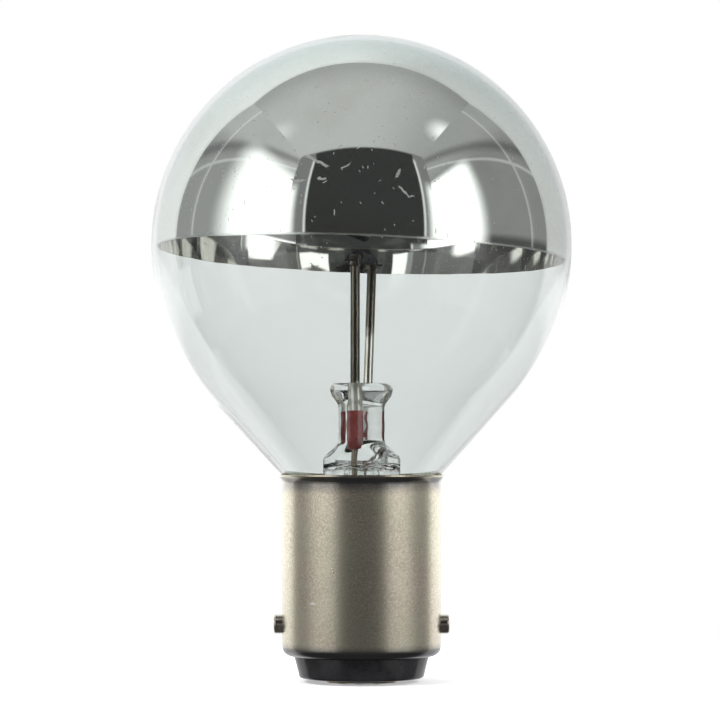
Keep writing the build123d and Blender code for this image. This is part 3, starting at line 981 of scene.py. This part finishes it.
def wallGlow(tree, look):
    # a bright window near the front, soft towards the back and the top, its foot rising towards the back
    parts = planeParts(tree)
    back = larger(tree, mathOf(tree, "SUBTRACT", parts["Y"], wall["riseFrom"]), 0)
    raised = mathOf(tree, "SUBTRACT", parts["Z"], times(tree, back, wall["rise"]))
    window = spread(tree, parts["Y"], *look["fade"])
    window = times(tree, window, spread(tree, parts["Z"], look["top"] + look["soft"], look["top"]))
    window = times(tree, window, spread(tree, raised, look["foot"] - wall["footSoft"], look["foot"]))
    # the wall: a low part with a pale patch at the back, a dark edge over it, then the pale cloth
    patch = spread(tree, parts["Y"], look["patch"] - wall["patchSoft"], look["patch"])
    patch = times(tree, patch, spread(tree, parts["Z"], *wall["patchLevel"]))
    low = mixed(tree, patch, look["low"], rear["low"])
    ground = spread(tree, parts["Z"], *wall["upperFrom"], look["wall"], look["upper"])
    ground = mixed(tree, spread(tree, parts["Z"], *wall["edgeTop"]), wall["edgeGlow"], ground)
    ground = mixed(tree, spread(tree, parts["Z"], *wall["lowTop"]), low, ground)
    # pale rods and a dark fold
    slant = mathOf(tree, "ADD", parts["Z"], times(tree, parts["Y"], seam["slope"]))
    fold = awayFrom(tree, slant, seam["fold"])
    ground = times(tree, ground, spread(tree, fold, 0, seam["foldHalf"], seam["foldShade"], 1))
    bar = awayFrom(tree, slant, seam["rod"])
    post = awayFrom(tree, parts["Y"], look["rod"])
    rods = spread(tree, mathOf(tree, "MINIMUM", bar, post), *seam["rodWidth"], 0, seam["rodLight"])
    return mixed(tree, window, mathOf(tree, "ADD", ground, rods), look["glow"])


rear = {
    "place": 420, "half": 800, "left": 1.05, "right": 0.72, "fade": (-100, 300), "low": 1.75, "soft": 20,
    "strip": 0.05, "stripFrom": -330, "stripTo": 300, "stripTop": (42, 32), "patchTop": -2,
    "patchEnd": (540, 600), "endGlow": 0.4, "deepGlow": 0.2, "deepLevel": (-165, -200), "deepSide": (0, -100),
}


def rearGlow(tree):
    # the white backdrop, duller to the right
    parts = planeParts(tree)
    ground = spread(tree, parts["X"], *rear["fade"], rear["left"], rear["right"])
    # its foot: two white patches, dark over them and between them
    patch = mixed(tree, spread(tree, parts["X"], *rear["patchEnd"]), rear["low"], rear["endGlow"])
    deep = spread(tree, parts["Z"], *rear["deepLevel"])
    deep = times(tree, deep, spread(tree, parts["X"], *rear["deepSide"]))
    patch = mixed(tree, deep, patch, rear["deepGlow"])
    between = times(tree, spread(tree, parts["X"], rear["stripFrom"] - rear["soft"], rear["stripFrom"]),
                    spread(tree, parts["X"], rear["stripTo"] + rear["soft"], rear["stripTo"]))
    over = spread(tree, parts["Z"], rear["patchTop"] - rear["soft"], rear["patchTop"])
    patch = mixed(tree, larger(tree, between, over), patch, rear["strip"])
    # only the mirror, deep in the globe, shows that foot
    low = spread(tree, parts["Z"], *rear["stripTop"])
    passed = addNode(tree, "LightPath").outputs["Transmission Depth"]
    atSilver = mathOf(tree, "GREATER_THAN", passed, rayCounts["atSilver"])
    return mixed(tree, times(tree, low, atSilver), ground, patch)


# a round screen that only outer surfaces mirror
screen = {
    "radius": 240, "foot": -90, "top": 55, "fade": 15, "sides": 72,
    "front": 0.2, "low": 0.5, "lowFrom": (-40, 0),
}
# from front to back: the angles between which each band sets in, and its glow
screenBands = {
    "cloth": (31, 43, 0.92), "gap": (66, 88, 0.41), "backdrop": (112, 120, 1.65), "behind": (160, 178, 0.85),
}


def screenGlow(tree):
    # bands of light round the cap, alike on both sides
    parts = planeParts(tree)
    turn = mathOf(tree, "ARCTAN2", parts["X"], times(tree, parts["Y"], -1))
    angle = mathOf(tree, "DEGREES", mathOf(tree, "ABSOLUTE", turn))
    glow = screen["front"]
    for start, end, level in screenBands.values():
        glow = mixed(tree, spread(tree, angle, start, end), glow, level)
    return times(tree, glow, spread(tree, parts["Z"], *screen["lowFrom"], screen["low"], 1))


def makePanel(name, corners, glowOf, faces=((0, 1, 2, 3),), outside=False):
    # light that only mirrored rays meet, or only those that outer surfaces mirror
    def panelShader(tree, path):
        thirdTime = mathOf(tree, "GREATER_THAN", path["Glossy Depth"], rayCounts["thirdTime"])
        glow = times(tree, glowOf(tree), mixed(tree, thirdTime, 1.0, tent["thirdTime"]))
        light = addNode(tree, "Emission", {"Strength": glow}).outputs[0]
        passed = path["Transmission Depth"]
        if outside:
            clear = mathOf(tree, "LESS_THAN", passed, rayCounts["inGlass"])
            share = times(tree, clear, spread(tree, planeParts(tree)["Z"], screen["top"], screen["fade"]))
        else:
            inStem = mathOf(tree, "GREATER_THAN", passed, rayCounts["inStem"])
            share = mathOf(tree, "SUBTRACT", 1.0, times(tree, inStem, tent["stemShare"]))
        mirrored = mathOf(tree, "GREATER_THAN", path["Glossy Depth"], rayCounts["mirrored"])
        clearPart = addNode(tree, "BsdfTransparent").outputs[0]
        return mixShaders(tree, times(tree, mirrored, share), clearPart, light)

    mesh = bpy.data.meshes.new(name)
    mesh.from_pydata([Vector(corner) * mm for corner in corners], [], faces)
    panel = stageSurface(name, mesh, panelShader)
    panel.visible_camera = False
    panel.visible_diffuse = False
    panel.visible_shadow = False


def levelCorners(level):
    half, front, back = tent["half"], tent["front"], tent["back"]
    return [(-half, front, level), (half, front, level), (half, back, level), (-half, back, level)]


def uprightCorners(start, end, rise=0):
    foot, top = tent["foot"] - rise, tent["top"] + rise
    return [(*start, foot), (*end, foot), (*end, top), (*start, top)]


def makeTent():
    half, front, back = tent["half"], tent["front"], tent["back"]
    makePanel("tent_top", levelCorners(tent["top"]), topGlow)
    makePanel("tent_foot", levelCorners(tent["foot"]), footGlow)
    makePanel("tent_front", uprightCorners((-half, front), (half, front)), frontGlow)
    rearEnds = (-rear["half"], rear["place"]), (rear["half"], rear["place"])
    makePanel("tent_rear", uprightCorners(*rearEnds, rise=rear["half"]), rearGlow)
    for sideName, way in (("left", -1), ("right", 1)):
        corners = uprightCorners((way * half, front), (way * half, back))
        makePanel(f"tent_{sideName}", corners, lambda tree, look=windows[sideName]: wallGlow(tree, look))


def makeScreen():
    radius, count = screen["radius"], screen["sides"]
    corners = []
    for level in (screen["foot"], screen["top"]):
        corners += [(radius * sin(turn), radius * cos(turn), level) for turn in fullTurn(count)]
    faces = [(n, (n + 1) % count, (n + 1) % count + count, n + count) for n in range(count)]
    makePanel("cap_screen", corners, screenGlow, faces, outside=True)


makeTent()
makeScreen()

lamps = {
    "key_lamp": {"place": (-320, -300, 380), "size": 240, "watts": 2.6},
    "fill_lamp": {"place": (340, -240, 260), "size": 260, "watts": 1.4},
    "top_lamp": {"place": (0, 60, 480), "size": 320, "watts": 2.0},
}
aimPoint = Vector((0, 0, 20)) * mm
for name, look in lamps.items():
    light = bpy.data.lights.new(name, "AREA")
    light.size = look["size"] * mm
    light.energy = look["watts"]
    lamp = bpy.data.objects.new(name, light)
    scene.collection.objects.link(lamp)
    lamp.location = Vector(look["place"]) * mm
    lamp.rotation_euler = (aimPoint - lamp.location).to_track_quat("-Z", "Y").to_euler()
    lamp.visible_glossy = False
    lamp.visible_transmission = False

backdrop = {"seen": 1.0, "fill": 0.5, "colour": (1, 1, 1, 1)}


def makeWorld():
    # white wherever it is seen, mirrored or looked at through glass, and a weaker fill light
    world = bpy.data.worlds.new("studio")
    scene.world = world
    world.use_nodes = True
    tree = world.node_tree
    path = addNode(tree, "LightPath").outputs
    seen = larger(tree, path["Is Camera Ray"], path["Is Glossy Ray"])
    seen = larger(tree, seen, path["Is Transmission Ray"])
    strength = spread(tree, seen, 0, 1, backdrop["fill"], backdrop["seen"], "LINEAR")
    tree.links.new(strength, tree.nodes["Background"].inputs["Strength"])
    tree.nodes["Background"].inputs["Color"].default_value = backdrop["colour"]


makeWorld()
scene.view_settings.view_transform = "Standard"
scene.cycles.max_bounces = 32
scene.cycles.transmission_bounces = 28
scene.cycles.glossy_bounces = 12
scene.cycles.transparent_max_bounces = 32
print("studio set")

# camera: long lens, a little below the globe, looking along +Y

shot = {
    "distance": 260, "height": 15.25, "aim": -0.15, "pitch": 2.22, "lens": 135.2, "sensor": 36, "nearest": 10,
}
lens = bpy.data.cameras.new("photo_camera")
lens.lens = shot["lens"]
lens.sensor_width = shot["sensor"]
lens.clip_start = shot["nearest"] * mm
camera = bpy.data.objects.new("photo_camera", lens)
scene.collection.objects.link(camera)
camera.location = Vector((shot["aim"], -shot["distance"], shot["height"])) * mm
camera.rotation_euler = (radians(90 + shot["pitch"]), 0, 0)
scene.camera = camera
